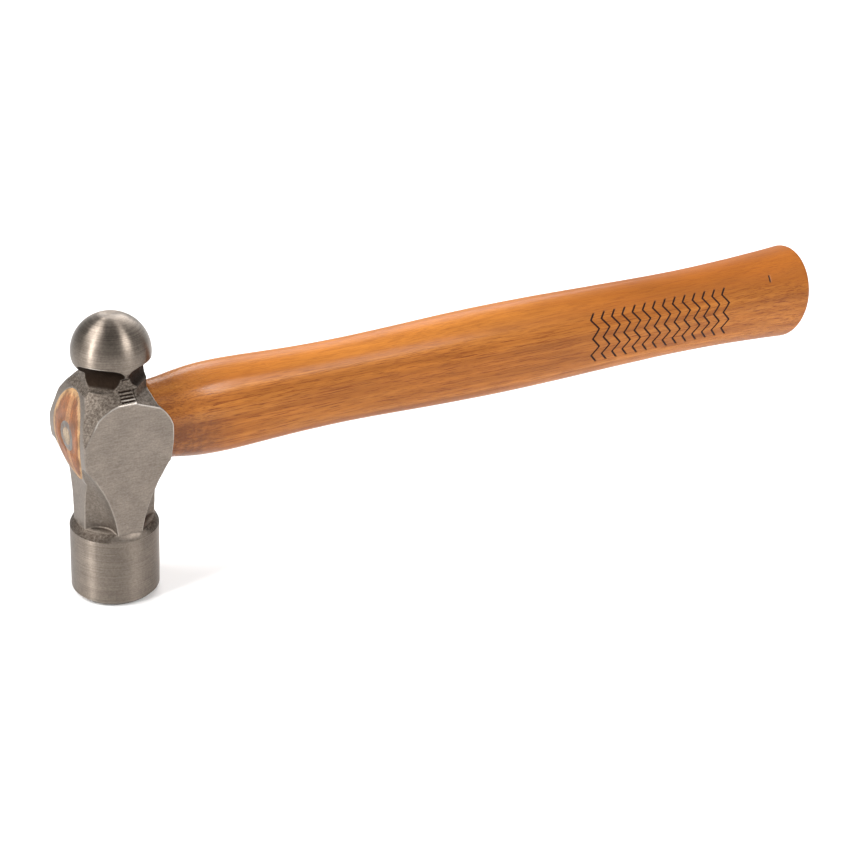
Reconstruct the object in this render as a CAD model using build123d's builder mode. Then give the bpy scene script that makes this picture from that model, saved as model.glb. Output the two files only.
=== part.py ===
"""Ball peen hammer: a one-piece forged head on a hickory handle, held by two wedges.

Z runs along the head, from the striking face at z = 0 up to the ball. X runs along the handle,
from the end grain in the eye (-X) to the butt (+X). The two flat cheeks face -Y and +Y. The
origin is the centre of the striking face.
"""

from build123d import *
from math import cos, radians, sin, sqrt
import os

os.makedirs("parts", exist_ok=True)

# Poll: the turned cylinder that carries the striking face.
POLL_RADIUS = 15.1
FACE_BEVEL = 1.6
RIM_HEIGHT = 24.9
SHOULDER_RADIUS = 11.5
SHOULDER_HEIGHT = 28.3
SHOULDER_MIDDLE = (13.9, 27.1)

# Ball: its lowest part runs into the neck, its crown has a small flat from the lathe centre.
BALL_RADIUS = 13.1
BALL_HEIGHT = 89.0
HEAD_LENGTH = 101.6

# Boss: the widest part of the forging, round the eye. Above the eye it's part of a ball, which
# makes the flat cheeks round. Its ends are ground to one radius, and its back shoulder follows the
# disc of the cheek.
EYE_HEIGHT = 61.4
BOSS_END_RADIUS = 37.0
BOSS_FRONT = 16.1
BOSS_BACK = 15.2
CHEEK_HALF = 15.3
CHEEK_TOP = 76.1
BOSS_RADIUS = 21.96
BOSS_CENTRE = 60.9
BOSS_MIDDLE_ANGLE = 22
BOSS_LOW = 46.0
BOSS_HIGH = 77.4
DISC_RADIUS = 15.9
DISC_MIDDLE_HALF = 13.6
DISC_END_HALF = 15.0

# Facets planed on the shoulders of the boss: a point on each, its outward direction, and how near
# to the middle of the head it reaches along X. The neck stands clear of them.
BACK_FACET = ((10.2, 8.1, 75.2), (0.376, 0.32, 1.0), 2.3)
FRONT_FACET = ((-13.5, 11.88, 73.25), (-0.75, 0.66, 0.39), 6.0)
FACET_WASTE = 60.0

# Waist: between the poll and the boss. The cheeks draw in slightly towards the poll.
WAIST_HALF = 12.7
WAIST_CHEEK_HALF = 13.1
WAIST_BOTTOM = 22.0
WAIST_TOP = 38.0
CHEEK_SWELL = 0.3
SCOOP_RADIUS = 9.0
SCOOP_SWEEP = 50.0
SCOOP_DEEPEST = (13.0, 13.8, 20.0)

# Neck: between the boss and the ball, an octagon with hollow corners, undercut below the ball.
NECK_HALF = 10.2
NECK_LOW = 79.6
NECK_HIGH = 84.0
NECK_CHEEK_HALF = 10.9
NECK_CHEEK_LOW = 79.9
NECK_CHEEK_HIGH = 83.3
NECK_CORNER_HALF = 12.3
NECK_CHAMFER = 6.2
NECK_HOLLOW_RADIUS = 4.1
NECK_HOLLOW_DISTANCE = 13.0
NECK_HOLLOW_HEIGHT = 83.2
UNDERCUT_HALF = 12.4
UNDERCUT_HEIGHT = 86.0
UNDERCUT_RADIUS = 2.3
CHEEK_UNDERCUT_HALF = 12.8
CHEEK_UNDERCUT_HEIGHT = 85.6

# Four chatter marks that the cutter left on the slope from the neck down to each cheek.
CHATTER_RADIUS = 0.45
CHATTER_HALF_LENGTH = 2.7
CHATTER_PLACES = ((14.4, 76.95), (13.45, 77.75), (12.5, 78.6), (11.55, 79.4))

# Eye: an oval hole along X with a waist, so that the spread tenon can't pull out.
# Each row is the place along X, the half width in Y and the half height in Z.
EYE_SECTIONS = ((-17.5, 11.6, 17.2), (1.0, 9.4, 13.9), (16.5, 10.6, 14.1))
EYE_START = EYE_SECTIONS[0][0]
HANDLE_AXIS = Axis((0, 0, EYE_HEIGHT), (1, 0, 0))

# Handle outside the eye: the place along X, the half height in Z and the ratio of width to height.
HANDLE_SECTIONS = (
    (29.0, 16.5, 0.75),
    (59.0, 16.3, 0.75),
    (98.0, 16.2, 0.75),
    (137.0, 17.7, 0.75),
    (176.0, 18.2, 0.75),
    (215.0, 17.8, 0.75),
    (254.0, 17.8, 0.76),
    (283.0, 18.8, 0.77),
    (306.0, 20.1, 0.78),
    (315.5, 20.5, 0.78),
)
BUTT_CROWN = 315.0
BUTT_DOME_RADIUS = 90.0
BUTT_EDGE = 2.2
BUTT_REACH = 30.0

# Wedges: a thin wooden one in a saw kerf along the eye, then a steel ring driven over it.
KERF_MOUTH = 3.2
KERF_TIP = 0.9
KERF_END = 9.0
KERF_HALF_HEIGHT = 18.0
RING_OUTER = 5.1
RING_INNER = 3.0
RING_EDGE = 4.7
RING_EDGE_THICKNESS = 0.3
RING_TAPER = 4.0
RING_DEPTH = 12.0


def boss_end(side, reach):
    """The ground end of the boss in the XZ plane: side is -1 or +1, reach its farthest X."""
    centre = reach - BOSS_END_RADIUS
    low = centre + sqrt(BOSS_END_RADIUS**2 - (EYE_HEIGHT - BOSS_LOW) ** 2)
    high = centre + sqrt(BOSS_END_RADIUS**2 - (BOSS_HIGH - EYE_HEIGHT) ** 2)
    return (side * low, BOSS_LOW), (side * reach, EYE_HEIGHT), (side * high, BOSS_HIGH)


def disc_point(half):
    """A point on the round back shoulder of the boss in the XZ plane, half away from the middle."""
    return half, BOSS_CENTRE + sqrt(DISC_RADIUS**2 - half**2)


def side_outline():
    """Outline of the waist, boss, neck and ball as seen from a cheek."""
    front_low, front_mid, front_high = boss_end(-1, BOSS_FRONT)
    back_low, back_mid, _ = boss_end(1, BOSS_BACK)
    wide = BOSS_RADIUS
    with BuildSketch(Plane.XZ) as outline:
        with BuildLine():
            Polyline((-WAIST_HALF, WAIST_BOTTOM), (-WAIST_HALF, WAIST_TOP), front_low)
            ThreePointArc(front_low, front_mid, front_high)
            Polyline(front_high, (-NECK_HALF, NECK_LOW), (-NECK_HALF, NECK_HIGH))
            RadiusArc((-NECK_HALF, NECK_HIGH), (-UNDERCUT_HALF, UNDERCUT_HEIGHT), UNDERCUT_RADIUS)
            Polyline(
                (-UNDERCUT_HALF, UNDERCUT_HEIGHT),
                (-wide, UNDERCUT_HEIGHT),
                (-wide, HEAD_LENGTH),
                (wide, HEAD_LENGTH),
                (wide, UNDERCUT_HEIGHT),
                (UNDERCUT_HALF, UNDERCUT_HEIGHT),
            )
            RadiusArc((UNDERCUT_HALF, UNDERCUT_HEIGHT), (NECK_HALF, NECK_HIGH), UNDERCUT_RADIUS)
            Line((NECK_HALF, NECK_HIGH), disc_point(NECK_HALF))
            ThreePointArc(disc_point(NECK_HALF), disc_point(DISC_MIDDLE_HALF), disc_point(DISC_END_HALF))
            ThreePointArc(disc_point(DISC_END_HALF), back_mid, back_low)
            Polyline(
                back_low,
                (WAIST_HALF, WAIST_TOP),
                (WAIST_HALF, WAIST_BOTTOM),
                (-WAIST_HALF, WAIST_BOTTOM),
            )
        make_face()
    return outline.sketch


def front_outline():
    """Outline of the waist, boss, neck and ball as seen along the handle."""
    wide = BOSS_RADIUS
    waist_corner = (WAIST_CHEEK_HALF, WAIST_BOTTOM)
    cheek_middle = (
        (WAIST_CHEEK_HALF + CHEEK_HALF) / 2 + CHEEK_SWELL,
        (WAIST_BOTTOM + EYE_HEIGHT) / 2,
    )
    neck_top = (NECK_CHEEK_HALF, NECK_CHEEK_HIGH)
    undercut = (CHEEK_UNDERCUT_HALF, CHEEK_UNDERCUT_HEIGHT)
    with BuildSketch(Plane.YZ) as outline:
        with BuildLine():
            Line((0, WAIST_BOTTOM), waist_corner)
            ThreePointArc(waist_corner, cheek_middle, (CHEEK_HALF, EYE_HEIGHT))
            Polyline(
                (CHEEK_HALF, EYE_HEIGHT),
                (CHEEK_HALF, CHEEK_TOP),
                (NECK_CHEEK_HALF, NECK_CHEEK_LOW),
                neck_top,
            )
            RadiusArc(neck_top, undercut, -UNDERCUT_RADIUS)
            Polyline(
                undercut,
                (wide, CHEEK_UNDERCUT_HEIGHT),
                (wide, HEAD_LENGTH),
                (0, HEAD_LENGTH),
                (0, WAIST_BOTTOM),
            )
        make_face()
        mirror(about=Plane.YZ)
    return outline.sketch


def turned_outline():
    """Half section of the ball, the neck's corners and the round shoulders of the boss."""
    crown = sqrt(BALL_RADIUS**2 - (HEAD_LENGTH - BALL_HEIGHT) ** 2)
    neck_top = BALL_HEIGHT - sqrt(BALL_RADIUS**2 - NECK_CORNER_HALF**2)
    boss_top = (CHEEK_HALF, BOSS_CENTRE + sqrt(BOSS_RADIUS**2 - CHEEK_HALF**2))
    boss_middle = (
        BOSS_RADIUS * cos(radians(BOSS_MIDDLE_ANGLE)),
        BOSS_CENTRE + BOSS_RADIUS * sin(radians(BOSS_MIDDLE_ANGLE)),
    )
    with BuildSketch(Plane.XZ) as outline:
        with BuildLine():
            Line((0, HEAD_LENGTH), (crown, HEAD_LENGTH))
            ThreePointArc((crown, HEAD_LENGTH), (BALL_RADIUS, BALL_HEIGHT), (NECK_CORNER_HALF, neck_top))
            Polyline(
                (NECK_CORNER_HALF, neck_top),
                (NECK_CORNER_HALF, NECK_LOW),
                boss_top,
            )
            ThreePointArc(boss_top, boss_middle, (BOSS_RADIUS, BOSS_CENTRE))
            Polyline(
                (BOSS_RADIUS, BOSS_CENTRE),
                (BOSS_RADIUS, WAIST_BOTTOM),
                (0, WAIST_BOTTOM),
                (0, HEAD_LENGTH),
            )
        make_face()
    return outline.sketch


def poll_outline():
    """Half section of the poll: bevelled face, turned side and rounded forged shoulder."""
    rim = (POLL_RADIUS, RIM_HEIGHT)
    shoulder = (SHOULDER_RADIUS, SHOULDER_HEIGHT)
    with BuildSketch(Plane.XZ) as outline:
        with BuildLine():
            Polyline(
                (0, SHOULDER_HEIGHT),
                (0, 0),
                (POLL_RADIUS - FACE_BEVEL, 0),
                (POLL_RADIUS, FACE_BEVEL),
                rim,
            )
            ThreePointArc(rim, SHOULDER_MIDDLE, shoulder)
            Line(shoulder, (0, SHOULDER_HEIGHT))
        make_face()
    return outline.sketch


def neck_plan():
    """The eight-sided section of the neck, in the XY plane."""
    with BuildSketch() as outline:
        Rectangle(2 * NECK_HALF, 2 * NECK_CHEEK_HALF)
        chamfer(outline.vertices(), NECK_CHAMFER)
    return outline.sketch


def cut_facet(point, direction, reach):
    """Planes off what lies beyond a point in one direction, on both cheeks, but spares the neck."""
    x_side = 1 if point[0] > 0 else -1
    for y_side in (-1, 1):
        place = (point[0], y_side * point[1], point[2])
        outward = (direction[0], y_side * direction[1], direction[2])
        with BuildPart(mode=Mode.PRIVATE) as waste:
            with Locations(Plane(origin=place, z_dir=outward)):
                Box(FACET_WASTE, FACET_WASTE, FACET_WASTE, align=(Align.CENTER, Align.CENTER, Align.MIN))
            with Locations((x_side * (reach + FACET_WASTE / 2), y_side * FACET_WASTE / 2, NECK_LOW)):
                Box(
                    FACET_WASTE,
                    FACET_WASTE,
                    FACET_WASTE,
                    align=(Align.CENTER, Align.CENTER, Align.MAX),
                    mode=Mode.INTERSECT,
                )
            extrude(neck_plan(), amount=HEAD_LENGTH, mode=Mode.SUBTRACT)
        add(waste.part, mode=Mode.SUBTRACT)


def cut_neck_hollows():
    """Four round hollows across the corners of the neck, which undercut the ball."""
    for turn in (45, 135, 225, 315):
        outward = Vector(cos(radians(turn)), sin(radians(turn)), 0)
        across = Vector(-outward.Y, outward.X, 0)
        place = outward * NECK_HOLLOW_DISTANCE + Vector(0, 0, NECK_HOLLOW_HEIGHT)
        with Locations(Plane(origin=place, z_dir=across)):
            Cylinder(NECK_HOLLOW_RADIUS, 2 * BOSS_RADIUS, mode=Mode.SUBTRACT)


def cut_waist_scoops():
    """Four scoops that leave the cheeks round and the waist eight-sided."""
    depth, half_width, low = SCOOP_DEEPEST
    for x_side in (-1, 1):
        for y_side in (-1, 1):
            place = (x_side * (depth + SCOOP_SWEEP), y_side * half_width, low)
            with Locations(Plane(origin=place, z_dir=(0, 1, 0))):
                Torus(SCOOP_SWEEP, SCOOP_RADIUS, mode=Mode.SUBTRACT)


def cut_chatter_marks():
    """Short grooves along X where the neck meets each cheek."""
    for y_side in (-1, 1):
        for half_width, height in CHATTER_PLACES:
            with Locations(Plane(origin=(0, y_side * half_width, height), z_dir=(1, 0, 0))):
                Cylinder(CHATTER_RADIUS, 2 * CHATTER_HALF_LENGTH, mode=Mode.SUBTRACT)


def oval(place, half_width, half_height):
    """An oval across the handle, centred on its axis."""
    with BuildSketch(Plane.YZ.offset(place)) as outline:
        with Locations((0, EYE_HEIGHT)):
            Ellipse(half_width, half_height)
    return outline.sketch


def fill_eye(mode):
    """The shape of the eye, and of the tenon that fills it, lofted through three ovals."""
    loft([oval(*section) for section in EYE_SECTIONS], mode=mode)


def flush_block():
    """Keeps only what lies behind the ground front end of the boss."""
    low, middle, high = boss_end(-1, BOSS_FRONT)
    far = HANDLE_SECTIONS[-1][0]
    with BuildSketch(Plane.XZ) as outline:
        with BuildLine():
            ThreePointArc(low, middle, high)
            Polyline(high, (0, HEAD_LENGTH), (far, HEAD_LENGTH), (far, 0), (0, 0), low)
        make_face()
    extrude(outline.sketch, amount=BOSS_RADIUS, both=True, mode=Mode.INTERSECT)


def draw_kerf(mode):
    """The tapered saw kerf, which the wooden wedge fills."""
    with BuildSketch(Plane.XY.offset(EYE_HEIGHT)) as outline:
        Polygon(
            (EYE_START, -KERF_MOUTH / 2),
            (KERF_END, -KERF_TIP / 2),
            (KERF_END, KERF_TIP / 2),
            (EYE_START, KERF_MOUTH / 2),
            align=None,
        )
    extrude(outline.sketch, amount=KERF_HALF_HEIGHT, both=True, mode=mode)


def draw_ring(mode):
    """The round wedge: a short tube, sharpened from inside at its driven edge."""
    sharp = -BOSS_FRONT + RING_DEPTH
    with BuildSketch(Plane.XZ) as outline:
        Polygon(
            (EYE_START, EYE_HEIGHT + RING_INNER),
            (EYE_START, EYE_HEIGHT + RING_OUTER),
            (sharp, EYE_HEIGHT + RING_EDGE),
            (sharp, EYE_HEIGHT + RING_EDGE - RING_EDGE_THICKNESS),
            (sharp - RING_TAPER, EYE_HEIGHT + RING_INNER),
            align=None,
        )
    revolve(outline.sketch, axis=HANDLE_AXIS, mode=mode)


def cut_butt_dome():
    """Crowns the butt end and leaves it a little proud in the middle."""
    hollow = BUTT_CROWN - BUTT_DOME_RADIUS
    rim = hollow + sqrt(BUTT_DOME_RADIUS**2 - BUTT_REACH**2)
    beyond = BUTT_CROWN + BUTT_REACH
    with BuildSketch(Plane.XZ) as outline:
        with BuildLine():
            RadiusArc((BUTT_CROWN, EYE_HEIGHT), (rim, EYE_HEIGHT + BUTT_REACH), -BUTT_DOME_RADIUS)
            Polyline(
                (rim, EYE_HEIGHT + BUTT_REACH),
                (beyond, EYE_HEIGHT + BUTT_REACH),
                (beyond, EYE_HEIGHT),
                (BUTT_CROWN, EYE_HEIGHT),
            )
        make_face()
    revolve(outline.sketch, axis=HANDLE_AXIS, mode=Mode.SUBTRACT)


with BuildPart() as head:
    revolve(turned_outline(), axis=Axis.Z)
    extrude(side_outline(), amount=2 * BOSS_RADIUS, both=True, mode=Mode.INTERSECT)
    extrude(front_outline(), amount=2 * BOSS_RADIUS, both=True, mode=Mode.INTERSECT)
    cut_facet(*BACK_FACET)
    cut_facet(*FRONT_FACET)
    cut_neck_hollows()
    cut_waist_scoops()
    cut_chatter_marks()
    revolve(poll_outline(), axis=Axis.Z)
    fill_eye(Mode.SUBTRACT)
head.part.label = "head"
export_step(head.part, "parts/head.step")

with BuildPart() as handle:
    fill_eye(Mode.ADD)
    flush_block()
    draw_kerf(Mode.SUBTRACT)
    draw_ring(Mode.SUBTRACT)
    grip = [oval(*EYE_SECTIONS[-1])]
    for place, half_height, ratio in HANDLE_SECTIONS:
        grip.append(oval(place, half_height * ratio, half_height))
    loft(grip)
    cut_butt_dome()
    fillet(handle.faces().sort_by(Axis.X)[-1].edges(), BUTT_EDGE)
handle.part.label = "handle"
export_step(handle.part, "parts/handle.step")

with BuildPart() as wooden_wedge:
    fill_eye(Mode.ADD)
    flush_block()
    draw_kerf(Mode.INTERSECT)
    draw_ring(Mode.SUBTRACT)
wooden_wedge.part.label = "wooden_wedge"
export_step(wooden_wedge.part, "parts/wooden_wedge.step")

with BuildPart() as ring_wedge:
    draw_ring(Mode.ADD)
    flush_block()
ring_wedge.part.label = "ring_wedge"
export_step(ring_wedge.part, "parts/ring_wedge.step")
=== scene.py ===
"""Ball peen hammer: the looks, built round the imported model.

Lengths are in metres. Z runs up the head from the striking face, X along the handle to the butt.
"""

from math import cos, hypot, pi, radians, sin, sqrt

import bmesh
import bpy
from mathutils import Matrix, Vector, noise
from mathutils.bvhtree import BVHTree


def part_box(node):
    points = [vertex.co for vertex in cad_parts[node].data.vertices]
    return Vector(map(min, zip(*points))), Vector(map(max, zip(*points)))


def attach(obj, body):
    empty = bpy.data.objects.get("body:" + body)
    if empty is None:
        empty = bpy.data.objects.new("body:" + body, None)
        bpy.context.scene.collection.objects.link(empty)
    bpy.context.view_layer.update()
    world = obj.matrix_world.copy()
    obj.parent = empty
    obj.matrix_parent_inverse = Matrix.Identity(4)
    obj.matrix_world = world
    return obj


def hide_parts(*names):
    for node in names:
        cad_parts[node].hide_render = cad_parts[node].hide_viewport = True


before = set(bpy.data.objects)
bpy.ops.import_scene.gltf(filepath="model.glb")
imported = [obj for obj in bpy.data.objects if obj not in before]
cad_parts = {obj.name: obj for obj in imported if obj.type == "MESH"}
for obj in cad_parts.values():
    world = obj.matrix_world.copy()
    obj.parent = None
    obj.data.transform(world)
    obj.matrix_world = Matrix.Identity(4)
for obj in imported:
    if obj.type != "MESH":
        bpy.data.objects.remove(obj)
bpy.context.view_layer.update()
MM = 0.001

# ---------------------------------------------------------------- head
# One drop forging of carbon steel. The poll and the ball are turned and brushed, the cheeks and
# the boss ends are ground flat, and the waist, shoulders and neck keep their forged skin.

low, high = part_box("head")
FORGING_VOXEL = 0.25 * MM
FORGING_KEEP = 0.36
RIM_HEIGHT = 24.9 * MM
LEDGE_TOP = 27.6 * MM
LEDGE_FRONT_LOW, LEDGE_FRONT_HIGH = 12.4 * MM, 13.6 * MM
CROWN_HEIGHT = 101.3 * MM
EYE_HEIGHT = 61.4 * MM
BALL_CENTRE = Vector((0, 0, 89.0 * MM))
BALL_RADIUS = 13.1 * MM
BALL_RIM = 85.5 * MM
CHEEK_TOP = 76.4 * MM
CHATTER_HALF = 3.2 * MM
CHEEK_DRAW = 2.2 * MM
WAIST_BOTTOM = 22.0 * MM
WAIST_FLAT = 12.7 * MM
WAIST_TOP = 47.0 * MM
BOSS_END_RADIUS = 37.0 * MM
BOSS_LOW, BOSS_HIGH = 45.5 * MM, 77.6 * MM
SCOOP_TOP = 56.0 * MM
NECK_DARK_LOW, NECK_DARK_HIGH = 78.6 * MM, 87.6 * MM
SKIN = 0.12 * MM
BOSS_END_SCALE, WAIST_SCALE, SCOOP_SCALE = 0.15, 0.3, 0.5
LEDGE_GROUND = 0.65
# how dark the ledge is made, and the painted reflection of the handle on the shoulder beside it
LEDGE_DARKENING, HANDLE_REFLECTION_SHADE = 0.45, 0.4
# share of bright edge, wear plus painted highlight, on the lower edges, at the rim and lost on the front
LOW_EDGE_SHARE, RIM_EDGE_SHARE, FRONT_EDGE_LOST = 0.25, 0.9, 0.85
LUMP_SIZE, LUMP_HEIGHT = 3.0 * MM, 0.07 * MM
PIT_SIZE, PIT_HEIGHT = 0.8 * MM, 0.04 * MM
RIPPLE_SIZE, RIPPLE_HEIGHT = 4.0 * MM, 0.02 * MM


def copy_of_node(node, name):
    """A closed copy of a CAD node's mesh, ready to be worked on."""
    piece = bpy.data.objects.new(name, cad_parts[node].data.copy())
    bpy.context.scene.collection.objects.link(piece)
    piece.data.name = name
    piece.data.materials.clear()
    shape = bmesh.new()
    shape.from_mesh(piece.data)
    bmesh.ops.remove_doubles(shape, verts=shape.verts, dist=0.002 * MM)
    shape.to_mesh(piece.data)
    shape.free()
    return piece


def apply_modifiers(piece):
    """Gives the piece the mesh that its modifiers make, and removes them."""
    depsgraph = bpy.context.evaluated_depsgraph_get()
    finished = bpy.data.meshes.new_from_object(piece.evaluated_get(depsgraph))
    piece.modifiers.clear()
    piece.data = finished


def step(low_edge, high_edge, value):
    """0 below the low edge, 1 above the high edge, and a smooth rise between."""
    t = min(max((value - low_edge) / (high_edge - low_edge), 0.0), 1.0)
    return t * t * (3 - 2 * t)


def forged_share(point):
    """0 where the steel was turned or ground, 1 where it keeps its forged skin."""
    x, y, z = point
    if z < RIM_HEIGHT + 0.2 * MM or z > CROWN_HEIGHT:
        return 0.0
    if (point - BALL_CENTRE).length > BALL_RADIUS - SKIN and z > BALL_RIM:
        return 0.0
    if z < LEDGE_TOP:
        return 1.0 - LEDGE_GROUND * step(LEDGE_FRONT_LOW, LEDGE_FRONT_HIGH, abs(y))
    drawn_in = max(0.0, EYE_HEIGHT - z) / (EYE_HEIGHT - WAIST_BOTTOM)
    if abs(y) > high.y - CHEEK_DRAW * drawn_in**1.4 - 2 * SKIN and z < CHEEK_TOP:
        return 0.0
    reach = -low.x if x < 0 else high.x
    from_centre = hypot(abs(x) - (reach - BOSS_END_RADIUS), z - EYE_HEIGHT)
    if from_centre > BOSS_END_RADIUS - SKIN and BOSS_LOW < z < BOSS_HIGH:
        return BOSS_END_SCALE
    if abs(x) > WAIST_FLAT - SKIN and z < WAIST_TOP:
        return WAIST_SCALE
    return SCOOP_SCALE + (1 - SCOOP_SCALE) * step(SCOOP_TOP - 8 * MM, SCOOP_TOP + 6 * MM, z)


def outward_bend(vertex):
    """How sharply the surface bends outwards at a vertex, per millimetre. Hollows are negative."""
    bend = 0.0
    for edge in vertex.link_edges:
        other = edge.other_vert(vertex)
        apart = other.co - vertex.co
        bend += (other.normal - vertex.normal).dot(apart) / max(apart.length_squared, 1e-12)
    return bend * (MM / len(vertex.link_edges))


def scale_and_shade_at(vertex, bend):
    """Share of black scale and painted shade: both in the neck's hollows under the ball, painted shade
    in the tool marks, a darker ledge, and a painted reflection of the handle on the shoulder beside it.
    """
    z = vertex.co.z
    across = step(0.28, 0.5, min(abs(vertex.normal.x), abs(vertex.normal.y)))
    shaded_hollow = across * step(NECK_DARK_LOW, NECK_DARK_LOW + 2 * MM, z) * (z < NECK_DARK_HIGH)
    on_ledge = LEDGE_DARKENING * (1 - step(RIM_HEIGHT + 1 * MM, RIM_HEIGHT + 6 * MM, z))
    shaded_chatter = step(0.2, 0.6, -bend) * (z > CHEEK_TOP and abs(vertex.co.x) < CHATTER_HALF)
    handle_reflection = HANDLE_REFLECTION_SHADE * step(5 * MM, 11 * MM, vertex.co.x) * step(66 * MM, 71 * MM, z)
    return max(shaded_hollow, on_ledge, shaded_chatter, handle_reflection)


def wear_and_highlight_at(vertex, bend):
    """Share of bright edge: wear on the steel plus a painted highlight, strongest on the upper edges of
    the cheeks and on the rim of the poll.
    """
    x, _, z = vertex.co
    worn_and_highlit = step(0.25, 0.9, bend + 0.15 * noise.noise(vertex.co / (1.1 * MM)))
    at_rim = step(RIM_HEIGHT - 0.7 * MM, RIM_HEIGHT, z) * (z < RIM_HEIGHT + 0.6 * MM)
    # painted highlight: edges higher up the head are made brighter, as they catch the light
    worn_and_highlit *= max(LOW_EDGE_SHARE + (1 - LOW_EDGE_SHARE) * step(58 * MM, 66 * MM, z), RIM_EDGE_SHARE * at_rim)
    worn_and_highlit *= 1 - FRONT_EDGE_LOST * step(11.8 * MM, 13.2 * MM, -x) * (z > WAIST_TOP)
    return worn_and_highlit * (1 - 0.9 * step(76.8 * MM, 78 * MM, z) * (z < NECK_DARK_HIGH))


def finish_forging(mesh):
    """Softens the edges, marks how each zone was finished and roughens the forged skin."""
    shape = bmesh.new()
    shape.from_mesh(mesh)
    forged_layer = shape.verts.layers.float.new("forged")
    turned_layer = shape.verts.layers.float.new("turned")
    worn_and_highlit_layer = shape.verts.layers.float.new("worn_and_highlit")
    scale_and_shade_layer = shape.verts.layers.float.new("scale_and_painted_shade")
    for vertex in shape.verts:
        z = vertex.co.z
        forged = forged_share(vertex.co)
        vertex[forged_layer] = forged
        vertex[turned_layer] = 1.0 if forged == 0.0 and (z < RIM_HEIGHT + SKIN or z > BALL_RIM) else 0.0
    for _ in range(2):
        bmesh.ops.smooth_vert(
            shape, verts=shape.verts, factor=0.5, use_axis_x=True, use_axis_y=True, use_axis_z=True
        )
    shape.normal_update()
    for vertex in shape.verts:
        bend = outward_bend(vertex)
        vertex[scale_and_shade_layer] = vertex[forged_layer] * scale_and_shade_at(vertex, bend)
        vertex[worn_and_highlit_layer] = wear_and_highlight_at(vertex, bend)
    for vertex in shape.verts:
        forged = vertex[forged_layer]
        lumps = noise.fractal(vertex.co / LUMP_SIZE, 1.0, 2.0, 3)
        pits = noise.noise(vertex.co / PIT_SIZE)
        rough = forged * (LUMP_HEIGHT * lumps + PIT_HEIGHT * pits)
        ripple = (1 - vertex[turned_layer]) * RIPPLE_HEIGHT * noise.noise(vertex.co / RIPPLE_SIZE)
        vertex.co += vertex.normal * (rough + ripple)
    for face in shape.faces:
        face.smooth = True
    shape.to_mesh(mesh)
    shape.free()


def nodes_of(material):
    """The node tree of a new material and its main shader."""
    material.use_nodes = True
    tree = material.node_tree
    return tree, tree.nodes["Principled BSDF"]


def feed(tree, socket, value):
    """Gives a socket a link from another socket, or a fixed number or colour."""
    if isinstance(value, bpy.types.NodeSocket):
        tree.links.new(value, socket)
    elif isinstance(value, tuple):
        socket.default_value = (*value, 1.0)
    else:
        socket.default_value = value


def object_coordinates(tree, scale, turn=(0, 0, 0)):
    """Object coordinates through a Mapping node, which sets the size and direction of a pattern."""
    source = tree.nodes.new("ShaderNodeTexCoord")
    mapping = tree.nodes.new("ShaderNodeMapping")
    mapping.inputs["Scale"].default_value = scale
    mapping.inputs["Rotation"].default_value = turn
    tree.links.new(source.outputs["Object"], mapping.inputs["Vector"])
    return mapping.outputs["Vector"]


def noise_of(tree, scale, turn=(0, 0, 0), detail=3.0, roughness=0.5, distortion=0.0):
    """A noise whose cells are 1 / scale metres along each axis."""
    node = tree.nodes.new("ShaderNodeTexNoise")
    tree.links.new(object_coordinates(tree, scale, turn), node.inputs["Vector"])
    node.inputs["Scale"].default_value = 1.0
    node.inputs["Detail"].default_value = detail
    node.inputs["Roughness"].default_value = roughness
    node.inputs["Distortion"].default_value = distortion
    return node.outputs["Fac"]


def marked(tree, name):
    """A float attribute of the mesh."""
    node = tree.nodes.new("ShaderNodeAttribute")
    node.attribute_name = name
    return node.outputs["Fac"]


def ramp(tree, value, *stops):
    """A colour ramp with (place, colour) stops. A grey may be given as one number."""
    node = tree.nodes.new("ShaderNodeValToRGB")
    while len(node.color_ramp.elements) < len(stops):
        node.color_ramp.elements.new(0.5)
    for element, (place, colour) in zip(node.color_ramp.elements, stops):
        element.position = place
        element.color = (*colour, 1) if isinstance(colour, tuple) else (colour, colour, colour, 1)
    tree.links.new(value, node.inputs["Fac"])
    return node.outputs["Color"]


def mixed(tree, share, first, second, blend="MIX"):
    """Two colours mixed. Each colour and the share is a socket or a fixed value."""
    node = tree.nodes.new("ShaderNodeMix")
    node.data_type = "RGBA"
    node.blend_type = blend
    feed(tree, node.inputs[0], share)
    feed(tree, node.inputs[6], first)
    feed(tree, node.inputs[7], second)
    return node.outputs[2]


def maths(tree, operation, first, second=0.0):
    """One Math node. Each side is a socket or a number."""
    node = tree.nodes.new("ShaderNodeMath")
    node.operation = operation
    feed(tree, node.inputs[0], first)
    feed(tree, node.inputs[1], second)
    return node.outputs[0]


def bump(tree, height, depth, after=None):
    """A Bump node that raises the surface by up to depth where height is 1."""
    node = tree.nodes.new("ShaderNodeBump")
    node.inputs["Distance"].default_value = depth
    feed(tree, node.inputs["Height"], height)
    if after is not None:
        tree.links.new(after, node.inputs["Normal"])
    return node.outputs["Normal"]


TURNED_DARK, TURNED_LIGHT = (0.14, 0.115, 0.093), (0.255, 0.215, 0.18)
GROUND_DARK, GROUND_LIGHT = (0.174, 0.145, 0.121), (0.25, 0.213, 0.18)
SCALE_DARK, SCALE_BROWN, SCALE_LIGHT = (0.075, 0.058, 0.046), (0.132, 0.109, 0.09), (0.225, 0.19, 0.158)
# the near-black of scale and painted shade in the hollows
SCALE_AND_SHADE_BLACK = (0.02, 0.013, 0.009)
WORN_AND_HIGHLIT_BRIGHT = (0.60, 0.55, 0.50)


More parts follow.
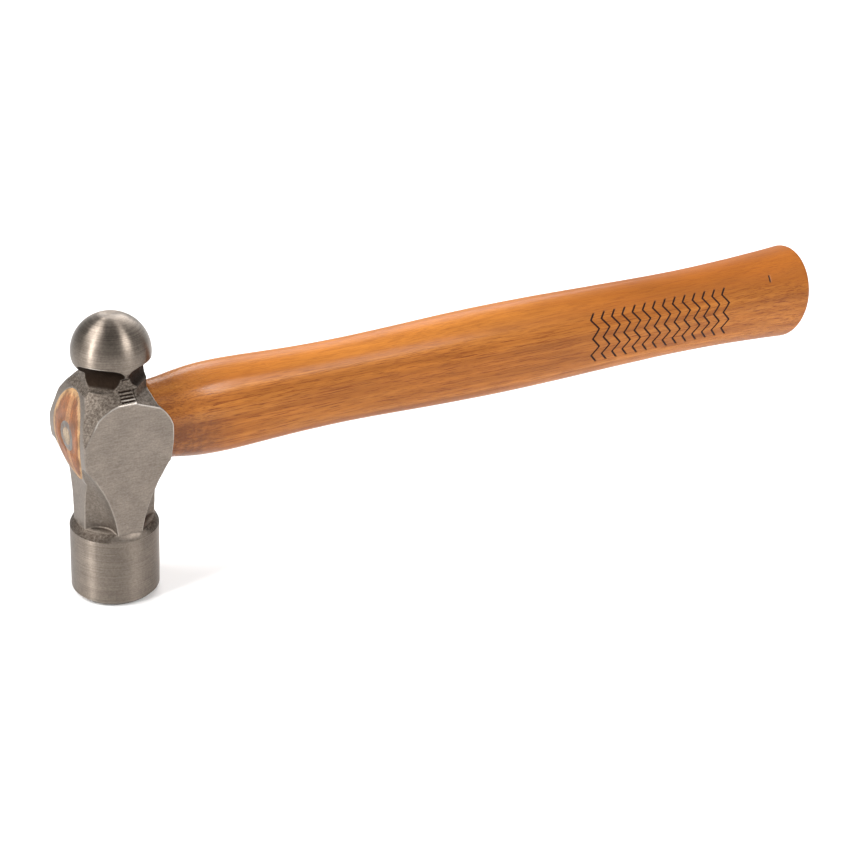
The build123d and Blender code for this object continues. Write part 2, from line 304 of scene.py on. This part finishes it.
def hammer_steel():
    """Satin steel, brushed round the head, with a darker, rougher skin where it's as forged."""
    material = bpy.data.materials.new("hammer steel")
    tree, shader = nodes_of(material)
    forged = marked(tree, "forged")
    turned = marked(tree, "turned")
    lathe_lines = noise_of(tree, (60, 60, 5200), detail=4, roughness=0.7)
    grinding = noise_of(tree, (420, 420, 3000), turn=(0, radians(8), 0), detail=4, roughness=0.6)
    clouds = noise_of(tree, (150, 150, 150), detail=3)
    specks = noise_of(tree, (1500, 1500, 1500), detail=3, roughness=0.6)
    scale = noise_of(tree, (1300, 1300, 1300), detail=5, roughness=0.68)
    brushed = ramp(tree, lathe_lines, (0.32, TURNED_DARK), (0.68, TURNED_LIGHT))
    ground = ramp(tree, grinding, (0.32, GROUND_DARK), (0.68, GROUND_LIGHT))
    finished = mixed(tree, turned, ground, brushed)
    finished = mixed(tree, 0.3, finished, ramp(tree, clouds, (0.35, 0.36), (0.65, 0.62)), "OVERLAY")
    finished = mixed(tree, 0.3, finished, ramp(tree, specks, (0.4, 0.3), (0.6, 0.6)), "OVERLAY")
    skin = ramp(tree, scale, (0.36, SCALE_DARK), (0.5, SCALE_BROWN), (0.66, SCALE_LIGHT))
    # painted shade and scale: the forged skin darkens towards black in the neck's hollows and tool
    # marks, on the ledge and beside the handle
    skin = mixed(tree, marked(tree, "scale_and_painted_shade"), skin, SCALE_AND_SHADE_BLACK)
    colour = mixed(tree, forged, finished, skin)
    worn_and_highlit = maths(tree, "MULTIPLY", marked(tree, "worn_and_highlit"), 0.75)
    # wear and painted highlight: bright steel on the edges
    tree.links.new(mixed(tree, worn_and_highlit, colour, WORN_AND_HIGHLIT_BRIGHT), shader.inputs["Base Color"])
    smooth = ramp(tree, lathe_lines, (0.3, 0.34), (0.7, 0.46))
    flat = ramp(tree, grinding, (0.3, 0.36), (0.7, 0.5))
    roughness = mixed(tree, forged, mixed(tree, turned, flat, smooth), (0.6, 0.6, 0.6))
    tree.links.new(roughness, shader.inputs["Roughness"])
    shader.inputs["Metallic"].default_value = 1.0
    tree.links.new(maths(tree, "MULTIPLY", turned, 0.88), shader.inputs["Anisotropic"])
    shader.inputs["Anisotropic Rotation"].default_value = 0.25
    tangent = tree.nodes.new("ShaderNodeTangent")
    tangent.direction_type = "RADIAL"
    tangent.axis = "Z"
    tree.links.new(tangent.outputs["Tangent"], shader.inputs["Tangent"])
    normal = bump(tree, mixed(tree, turned, grinding, lathe_lines), 0.006 * MM)
    normal = bump(tree, maths(tree, "MULTIPLY", scale, forged), 0.1 * MM, after=normal)
    tree.links.new(normal, shader.inputs["Normal"])
    return material


head = copy_of_node("head", "head_forging")
remesh = head.modifiers.new("forging skin", "REMESH")
remesh.mode = "VOXEL"
remesh.voxel_size = FORGING_VOXEL
apply_modifiers(head)
finish_forging(head.data)
thinning = head.modifiers.new("thinning", "DECIMATE")
thinning.ratio = FORGING_KEEP
apply_modifiers(head)
head.data.materials.append(hammer_steel())
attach(head, "root")
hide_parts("head")

# ---------------------------------------------------------------- handle
# Turned from one stick of hickory, sanded, stained and lacquered, then fourteen zig-zag lines are
# burnt into each side of the grip. The far side's lines are taken to be like the near side's.

TENON_END = 10.0 * MM
_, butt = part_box("handle")
BUTT_EDGE = 2.4 * MM
BUTT_DOME_RADIUS = 90.0 * MM
BUTT_BEND = 16.0 * MM
HANDLE_SIDES = 300
PLAIN_STEP = 2.5 * MM
STATION = 6.0 * MM
FIRST_STATION = 11.0 * MM
GROOVES = 14
GROOVE_PITCH = 5.35 * MM
FIRST_GROOVE = 196.4 * MM
GROOVE_HALF = 0.42 * MM
GROOVE_DEPTH = 0.35 * MM
GROOVE_TOP, GROOVE_BOTTOM = 12.1 * MM, -8.2 * MM
ZIG_TOP = 9.8 * MM
ZIG_HEIGHT = 7.2 * MM
ZIG_REACH = 1.75 * MM
ZIG_LEAN = -0.0625
NICK_PLACE, NICK_HEIGHT, NICK_DEPTH = 291.0 * MM, 12.5 * MM, 0.25 * MM
NICK_STEP = 0.3 * MM
SANDING_WAVES, SANDING_DEPTH = 45, 0.06 * MM
SAWN_DEPTH = 0.2 * MM
BUTT_TURNS = 8
BUTT_SHARES = (0.92, 0.8, 0.65, 0.5, 0.35, 0.2, 0.08)

cad_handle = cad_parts["handle"].data
handle_tree = BVHTree.FromPolygons(
    [v.co.copy() for v in cad_handle.vertices], [tuple(p.vertices) for p in cad_handle.polygons]
)


def measured_half(x, direction):
    """Distance from the handle's axis to its surface at x, along direction."""
    centre = Vector((x, 0, EYE_HEIGHT))
    hit, _, _, _ = handle_tree.ray_cast(centre + direction * 60 * MM, -direction)
    return (hit - centre).length


def smoothed(values):
    """The same row of sizes with small bumps evened out."""
    inner = [(values[k - 1] + 2 * values[k] + values[k + 1]) / 4 for k in range(1, len(values) - 1)]
    return [values[0], *inner, values[-1]]


stations = [FIRST_STATION + STATION * k for k in range(int((butt.x - 14 * MM) / STATION))]
half_heights = smoothed([measured_half(x, Vector((0, 0, 1))) for x in stations])
half_widths = smoothed([measured_half(x, Vector((0, -1, 0))) for x in stations])


def along(values, x):
    """The measured sizes as one smooth curve through the stations."""
    place = (x - stations[0]) / STATION
    k = min(max(int(place), 0), len(values) - 2)
    t = place - k
    start, end = values[k], values[k + 1]
    slope_in = (end - values[k - 1]) / 2 if k > 0 else end - start
    slope_out = (values[k + 2] - start) / 2 if k < len(values) - 2 else end - start
    cubic = start * (2 * t**3 - 3 * t**2 + 1) + end * (3 * t**2 - 2 * t**3)
    return cubic + slope_in * (t**3 - 2 * t**2 + t) + slope_out * (t**3 - t**2)


def zig_zag(height):
    """How far along the handle a burnt line strays at this height above the axis."""
    phase = ((ZIG_TOP - height) / ZIG_HEIGHT) % 1.0
    wave = 1 - abs(phase - 0.5) * 4
    kept = step(GROOVE_BOTTOM - 4.5 * MM, GROOVE_BOTTOM - 0.5 * MM, height)
    kept *= 1 - step(GROOVE_TOP + 0.3 * MM, GROOVE_TOP + 4.3 * MM, height)
    return (ZIG_REACH * wave + ZIG_LEAN * height) * kept


def grip_rings():
    """Place along X, groove depth, burn and zig-zag share of each ring up to the butt's edge."""
    first = FIRST_GROOVE - GROOVE_PITCH
    last = FIRST_GROOVE + GROOVE_PITCH * GROOVES
    rings = []
    x = TENON_END
    while x < first - 0.5 * PLAIN_STEP:
        rings.append((x, 0.0, 0.0, step(first - 10 * MM, first, x)))
        x += PLAIN_STEP
    for line in range(GROOVES):
        middle = FIRST_GROOVE + GROOVE_PITCH * line
        rings.append((middle - GROOVE_PITCH / 2, 0.0, 0.0, 1.0))
        for offset, depth, burn in (
            (-1.6, 0.0, 0.0),
            (-1.0, 0.0, 1.0),
            (-0.5, 1.0, 1.0),
            (0.5, 1.0, 1.0),
            (1.0, 0.0, 1.0),
            (1.6, 0.0, 0.0),
        ):
            rings.append((middle + offset * GROOVE_HALF, depth, burn, 1.0))
    x = last - GROOVE_PITCH / 2
    while x < butt.x - BUTT_EDGE:
        near_nick = abs(x - NICK_PLACE) < 3 * MM
        rings.append((x, 0.0, 0.0, 1 - step(last - GROOVE_PITCH / 2, last + 8 * MM, x)))
        x += NICK_STEP if near_nick else PLAIN_STEP
    return rings


def build_handle():
    """The handle outside the head, as rings along its axis, with burnt lines and a crowned butt."""
    shape = bmesh.new()
    burnt = shape.verts.layers.float.new("burnt")
    sawn = shape.verts.layers.float.new("sawn")
    ring = bmesh.ops.create_circle(shape, cap_ends=True, segments=HANDLE_SIDES, radius=1.0)["verts"]
    edges = shape.edges[:]

    def place_ring(vertices, x, width, height, depth=0.0, burn=0.0, share=0.0):
        bend = step(butt.x - BUTT_BEND, butt.x - BUTT_EDGE, x)
        for index, vertex in enumerate(vertices):
            angle = 2 * pi * index / HANDLE_SIDES
            across, up = width * cos(angle), height * sin(angle)
            in_line = step(GROOVE_BOTTOM - 0.2 * MM, GROOVE_BOTTOM + 0.2 * MM, up)
            in_line *= 1 - step(GROOVE_TOP - 0.2 * MM, GROOVE_TOP + 0.2 * MM, up)
            cut = 1 - depth * in_line * GROOVE_DEPTH / hypot(across, up)
            drop = BUTT_DOME_RADIUS - sqrt(BUTT_DOME_RADIUS**2 - across**2 - up**2)
            stray = zig_zag(up) * share
            vertex.co = (x + stray - drop * bend, across * cut, EYE_HEIGHT + up * cut)
            sanded = noise.noise(vertex.co * SANDING_WAVES) * SANDING_DEPTH * step(18 * MM, 30 * MM, x)
            vertex.co.y += sanded * cos(angle)
            vertex.co.z += sanded * sin(angle)
            nick = 0.0
            if across < 0:
                nick = 1 - step(0.25 * MM, 0.5 * MM, abs(x - NICK_PLACE))
                nick *= 1 - step(1.0 * MM, 1.6 * MM, abs(up - NICK_HEIGHT))
            vertex.co.y += nick * NICK_DEPTH
            vertex[burnt] = max(burn * in_line, nick)
            vertex[sawn] = float(x > butt.x - SAWN_DEPTH)

    places = [(x, along(half_widths, x), along(half_heights, x), *rest) for x, *rest in grip_rings()]
    rim = butt.x - BUTT_EDGE
    width, height = along(half_widths, rim), along(half_heights, rim)
    for turn in range(BUTT_TURNS + 1):
        angle = radians(90 * turn / BUTT_TURNS)
        inset = BUTT_EDGE * (1 - cos(angle))
        places.append((rim + BUTT_EDGE * sin(angle), width - inset, height - inset))
    for share in BUTT_SHARES:
        places.append((butt.x, (width - BUTT_EDGE) * share, (height - BUTT_EDGE) * share))
    place_ring(ring, *places[0])
    for place in places[1:]:
        grown = bmesh.ops.extrude_edge_only(shape, edges=edges)["geom"]
        ring = [g for g in grown if isinstance(g, bmesh.types.BMVert)]
        edges = [g for g in grown if isinstance(g, bmesh.types.BMEdge)]
        place_ring(ring, *place)
    bmesh.ops.contextual_create(shape, geom=edges)
    bmesh.ops.recalc_face_normals(shape, faces=shape.faces)
    for face in shape.faces:
        face.smooth = True
    mesh = bpy.data.meshes.new("handle_grip")
    shape.to_mesh(mesh)
    shape.free()
    piece = bpy.data.objects.new("handle_grip", mesh)
    bpy.context.scene.collection.objects.link(piece)
    return piece


def above_axis(tree):
    """Height above the handle's axis, place along it and place across it, as sockets in metres."""
    source = tree.nodes.new("ShaderNodeTexCoord")
    parts = tree.nodes.new("ShaderNodeSeparateXYZ")
    tree.links.new(source.outputs["Object"], parts.inputs[0])
    height = maths(tree, "SUBTRACT", parts.outputs["Z"], EYE_HEIGHT)
    return height, parts.outputs["X"], parts.outputs["Y"]


def spread(tree, value, low_edge, high_edge):
    """0 below the low edge and 1 above the high edge, as a Map Range node."""
    node = tree.nodes.new("ShaderNodeMapRange")
    node.interpolation_type = "SMOOTHSTEP"
    tree.links.new(value, node.inputs["Value"])
    node.inputs["From Min"].default_value = low_edge
    node.inputs["From Max"].default_value = high_edge
    return node.outputs["Result"]


SIDE_DARK, SIDE_MIDDLE, SIDE_LIGHT = (0.30, 0.094, 0.014), (0.39, 0.13, 0.021), (0.465, 0.17, 0.031)
# painted light: the colours of the lit upper face of the handle
LIT_TOP_DARK, LIT_TOP_LIGHT, LIT_TOP_NEAR_BUTT = (0.38, 0.119, 0.016), (0.49, 0.175, 0.027), (0.29, 0.082, 0.009)
STREAK_BROWN, PORE_BROWN, STAIN_BROWN = (0.215, 0.056, 0.009), (0.15, 0.038, 0.007), (0.12, 0.029, 0.003)
RING_DARK, RING_LIGHT = (0.2, 0.066, 0.012), (0.42, 0.17, 0.04)
CHARRED = (0.022, 0.009, 0.006)


def hickory():
    """Stained and lacquered hickory: brown streaks on the flat sides, and an upper face with fewer
    streaks, painted a lighter orange as if lit from above.
    """
    material = bpy.data.materials.new("lacquered hickory")
    tree, shader = nodes_of(material)
    height, place, _ = above_axis(tree)
    lean = (0, radians(-1.2), 0)
    bands = noise_of(tree, (7, 330, 330), turn=lean, detail=2, roughness=0.45, distortion=0.3)
    streaks = noise_of(tree, (60, 2500, 2500), turn=lean, detail=4, roughness=0.6, distortion=0.1)
    pores = noise_of(tree, (130, 4200, 4200), turn=lean, detail=2, roughness=0.6)
    patches = noise_of(tree, (16, 70, 70), detail=3, roughness=0.55)
    side = ramp(tree, bands, (0.34, SIDE_DARK), (0.52, SIDE_MIDDLE), (0.7, SIDE_LIGHT))
    lit_top = ramp(tree, bands, (0.3, LIT_TOP_DARK), (0.7, LIT_TOP_LIGHT))
    browner = maths(tree, "MULTIPLY", spread(tree, place, 130 * MM, 230 * MM), 0.8)
    lit_top = mixed(tree, browner, lit_top, LIT_TOP_NEAR_BUTT)
    # painted light: the upper face is given a lighter orange, browner towards the butt, and fewer
    # streaks than the sides
    lit_top_share = spread(tree, height, 7.0 * MM, 12.5 * MM)
    wood = mixed(tree, lit_top_share, side, lit_top)
    wood = mixed(tree, 0.5, wood, ramp(tree, patches, (0.32, 0.36), (0.68, 0.62)), "OVERLAY")
    shade = ramp(tree, streaks, (0.36, 0.0), (0.47, 1.0))
    quiet = maths(tree, "MULTIPLY", lit_top_share, 0.72)
    shade = maths(tree, "MAXIMUM", shade, quiet)
    wood = mixed(tree, shade, STREAK_BROWN, wood)
    fine = maths(tree, "MAXIMUM", ramp(tree, pores, (0.34, 0.25), (0.46, 1.0)), quiet)
    wood = mixed(tree, fine, PORE_BROWN, wood)
    stain = noise_of(tree, (420, 420, 420), detail=4, roughness=0.6)
    near_head = maths(tree, "SUBTRACT", 1.0, spread(tree, place, 24 * MM, 44 * MM))
    stained = maths(tree, "MULTIPLY", near_head, spread(tree, height, 7 * MM, -2 * MM))
    mottle = maths(tree, "MULTIPLY", stained, ramp(tree, stain, (0.38, 0.45), (0.58, 1.0)))
    wood = mixed(tree, maths(tree, "MULTIPLY", mottle, 0.78), wood, STAIN_BROWN)
    rings = noise_of(tree, (40, 1500, 160), turn=(radians(14), 0, 0), detail=3, roughness=0.55)
    sawn = maths(tree, "MULTIPLY", marked(tree, "sawn"), 0.7)
    wood = mixed(tree, sawn, wood, ramp(tree, rings, (0.4, RING_DARK), (0.6, RING_LIGHT)))
    burnt = marked(tree, "burnt")
    wood = mixed(tree, burnt, wood, CHARRED)
    tree.links.new(wood, shader.inputs["Base Color"])
    shader.inputs["Roughness"].default_value = 0.55
    unburnt = maths(tree, "SUBTRACT", 1.0, burnt)
    shader.inputs["Specular IOR Level"].default_value = 0.12
    lacquer = maths(tree, "ADD", 0.14, maths(tree, "MULTIPLY", near_head, 0.3))
    tree.links.new(maths(tree, "MULTIPLY", unburnt, lacquer), shader.inputs["Coat Weight"])
    shader.inputs["Coat Roughness"].default_value = 0.2
    ridges = maths(tree, "ADD", maths(tree, "MULTIPLY", fine, 0.5), maths(tree, "MULTIPLY", shade, 0.5))
    normal = bump(tree, ridges, 0.035 * MM)
    peel = maths(tree, "MULTIPLY", noise_of(tree, (700, 1300, 1300), detail=3, roughness=0.6), near_head)
    normal = bump(tree, peel, 0.45 * MM, after=normal)
    tree.links.new(normal, shader.inputs["Normal"])
    return material


handle = build_handle()
handle.data.materials.append(hickory())
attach(handle, "root")
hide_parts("handle")

# ---------------------------------------------------------------- tenon
# The end of the same stick, driven through the eye and ground off flush with the head, so that
# its end grain shows. The lacquer has soaked into the core and left a paler rim.

TENON_HALF_WIDTH, TENON_HALF_HEIGHT = 11.3 * MM, 17.0 * MM
TENON_CORE, PALE_RIM = (0.195, 0.065, 0.016), (0.42, 0.24, 0.105)
RUBBED_GREY, EDGE_DIRT = (0.27, 0.2, 0.13), (0.11, 0.055, 0.03)


def end_grain(name, core, rim):
    """Sawn and ground end grain: fine pores, growth lines, a paler rim and a greyer middle."""
    material = bpy.data.materials.new(name)
    tree, shader = nodes_of(material)
    height, _, across = above_axis(tree)
    tall = maths(tree, "DIVIDE", height, TENON_HALF_HEIGHT)
    wide = maths(tree, "DIVIDE", across, TENON_HALF_WIDTH)
    out = maths(tree, "ADD", maths(tree, "MULTIPLY", tall, tall), maths(tree, "MULTIPLY", wide, wide))
    cloud = noise_of(tree, (330, 330, 170), detail=4, roughness=0.6)
    growth = noise_of(tree, (1300, 1300, 190), turn=(radians(8), 0, 0), detail=3, roughness=0.6)
    specks = noise_of(tree, (2400, 2400, 2400), detail=2, roughness=0.6)
    wander = maths(tree, "ADD", out, maths(tree, "MULTIPLY", cloud, 0.55))
    wood = mixed(tree, spread(tree, wander, 0.92, 1.12), core, rim)
    squares = [maths(tree, "MULTIPLY", part, part) for part in (height, across)]
    from_middle = maths(tree, "SQRT", maths(tree, "ADD", *squares))
    wood = mixed(tree, spread(tree, from_middle, 3.3 * MM, 2.6 * MM), wood, RUBBED_GREY)
    wood = mixed(tree, 0.75, wood, ramp(tree, cloud, (0.36, 0.33), (0.64, 0.66)), "OVERLAY")
    wood = mixed(tree, 0.55, wood, ramp(tree, growth, (0.38, 0.3), (0.62, 0.66)), "OVERLAY")
    wood = mixed(tree, 0.4, wood, ramp(tree, specks, (0.38, 0.15), (0.55, 0.55)), "OVERLAY")
    edge = spread(tree, out, 0.965, 1.0)
    wood = mixed(tree, maths(tree, "MULTIPLY", edge, 0.8), wood, EDGE_DIRT)
    tree.links.new(wood, shader.inputs["Base Color"])
    shader.inputs["Roughness"].default_value = 0.62
    grain = maths(tree, "ADD", growth, specks)
    tree.links.new(bump(tree, grain, 0.06 * MM), shader.inputs["Normal"])
    return material


tenon = copy_of_node("handle", "handle_tenon")
shape = bmesh.new()
shape.from_mesh(tenon.data)
cut = bmesh.ops.bisect_plane(
    shape,
    geom=shape.verts[:] + shape.edges[:] + shape.faces[:],
    plane_co=(TENON_END, 0, 0),
    plane_no=(1, 0, 0),
    clear_outer=True,
)
cut_edges = [g for g in cut["geom_cut"] if isinstance(g, bmesh.types.BMEdge)]
bmesh.ops.contextual_create(shape, geom=cut_edges)
shape.to_mesh(tenon.data)
shape.free()
tenon.data.materials.append(end_grain("hickory end grain", TENON_CORE, PALE_RIM))
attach(tenon, "root")
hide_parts("handle")

# ---------------------------------------------------------------- wooden wedge
# A thin strip of paler wood, driven into the saw kerf in the tenon and ground off with it.

WEDGE_CORE, WEDGE_RIM = (0.28, 0.125, 0.045), (0.38, 0.225, 0.10)

wooden_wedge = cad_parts["wooden_wedge"]
wooden_wedge.data.materials.clear()
wooden_wedge.data.materials.append(end_grain("wedge end grain", WEDGE_CORE, WEDGE_RIM))

# ---------------------------------------------------------------- ring wedge
# A short steel tube with a sharpened edge, driven in over the wooden wedge. Its end was ground off
# with the wood, and the rest keeps a dull dark skin with a little rust.

RING_STEEL_DARK, RING_STEEL_LIGHT, RUST = (0.09, 0.078, 0.068), (0.19, 0.17, 0.152), (0.16, 0.085, 0.045)


def ring_steel():
    """Dull dark steel with blotches of brown rust."""
    material = bpy.data.materials.new("ring steel")
    tree, shader = nodes_of(material)
    blotches = noise_of(tree, (650, 650, 650), detail=4, roughness=0.6)
    scratches = noise_of(tree, (900, 3200, 700), detail=3, roughness=0.6)
    steel = ramp(tree, scratches, (0.35, RING_STEEL_DARK), (0.65, RING_STEEL_LIGHT))
    rust = ramp(tree, blotches, (0.5, 0.0), (0.66, 0.7))
    tree.links.new(mixed(tree, rust, steel, RUST), shader.inputs["Base Color"])
    tree.links.new(ramp(tree, rust, (0.0, 0.42), (1.0, 0.7)), shader.inputs["Roughness"])
    tree.links.new(ramp(tree, rust, (0.0, 0.95), (1.0, 0.35)), shader.inputs["Metallic"])
    tree.links.new(bump(tree, blotches, 0.05 * MM), shader.inputs["Normal"])
    return material


ring_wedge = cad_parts["ring_wedge"]
ring_wedge.data.materials.clear()
ring_wedge.data.materials.append(ring_steel())

# ---------------------------------------------------------------- floor, light and camera
# A pale seamless floor under the tool. A soft sun stands high on the left with a tall strip beside
# it, and there is a box high on the right and one behind.

FLOOR_HALF = 4.0
WORLD_STRENGTH = 0.33
CAMERA_PLACE = (-0.17856, -0.42868, 0.29406)
CAMERA_LENS = 64.59
CAMERA_HEADING, CAMERA_DIP, CAMERA_ROLL = -35.563, 26.286, 4.6

bpy.context.scene.view_settings.view_transform = "Standard"
floor_shape = bmesh.new()
bmesh.ops.create_grid(floor_shape, x_segments=1, y_segments=1, size=FLOOR_HALF)
floor_mesh = bpy.data.meshes.new("floor")
floor_shape.to_mesh(floor_mesh)
floor_shape.free()
floor = bpy.data.objects.new("floor", floor_mesh)
bpy.context.scene.collection.objects.link(floor)
paper = bpy.data.materials.new("floor paper")
_, paper_shader = nodes_of(paper)
paper_shader.inputs["Base Color"].default_value = (0.88, 0.88, 0.88, 1)
paper_shader.inputs["Roughness"].default_value = 0.9
paper_shader.inputs["Specular IOR Level"].default_value = 0.0
floor.data.materials.append(paper)

world = bpy.data.worlds.new("studio")
world.use_nodes = True
world.node_tree.nodes["Background"].inputs["Color"].default_value = (1, 1, 1, 1)
world.node_tree.nodes["Background"].inputs["Strength"].default_value = WORLD_STRENGTH
bpy.context.scene.world = world


def lamp(name, kind, place, energy, aim=(0.05, 0, 0.06)):
    """A light that points from its place at the tool."""
    light = bpy.data.lights.new(name, kind)
    light.energy = energy
    holder = bpy.data.objects.new(name, light)
    holder.location = place
    holder.rotation_euler = (Vector(aim) - Vector(place)).to_track_quat("-Z", "Y").to_euler()
    bpy.context.scene.collection.objects.link(holder)
    return light


key = lamp("key", "SUN", (-1.0, 0.35, 1.4), 2.8)
key.angle = radians(40)
right_box = lamp("right_box", "AREA", (0.5, -0.78, 0.8), 8.5)
right_box.size = 0.4
back_box = lamp("back_box", "AREA", (0.55, 0.75, 0.78), 9)
back_box.size = 0.7
left_strip = lamp("left_strip", "AREA", (-0.725, -0.1, 0.32), 4.2, aim=(0, 0, 0.08))
left_strip.shape = "RECTANGLE"
left_strip.size = 0.13
left_strip.size_y = 0.62

camera = bpy.data.cameras.new("camera")
camera.sensor_width = 36.0
camera.lens = CAMERA_LENS
camera.clip_start = 0.01
eye_point = bpy.data.objects.new("camera", camera)
eye_point.location = CAMERA_PLACE
eye_point.rotation_euler = (
    Matrix.Rotation(radians(CAMERA_HEADING), 3, "Z")
    @ Matrix.Rotation(radians(90 - CAMERA_DIP), 3, "X")
    @ Matrix.Rotation(radians(CAMERA_ROLL), 3, "Z")
).to_euler()
bpy.context.scene.collection.objects.link(eye_point)
bpy.context.scene.camera = eye_point
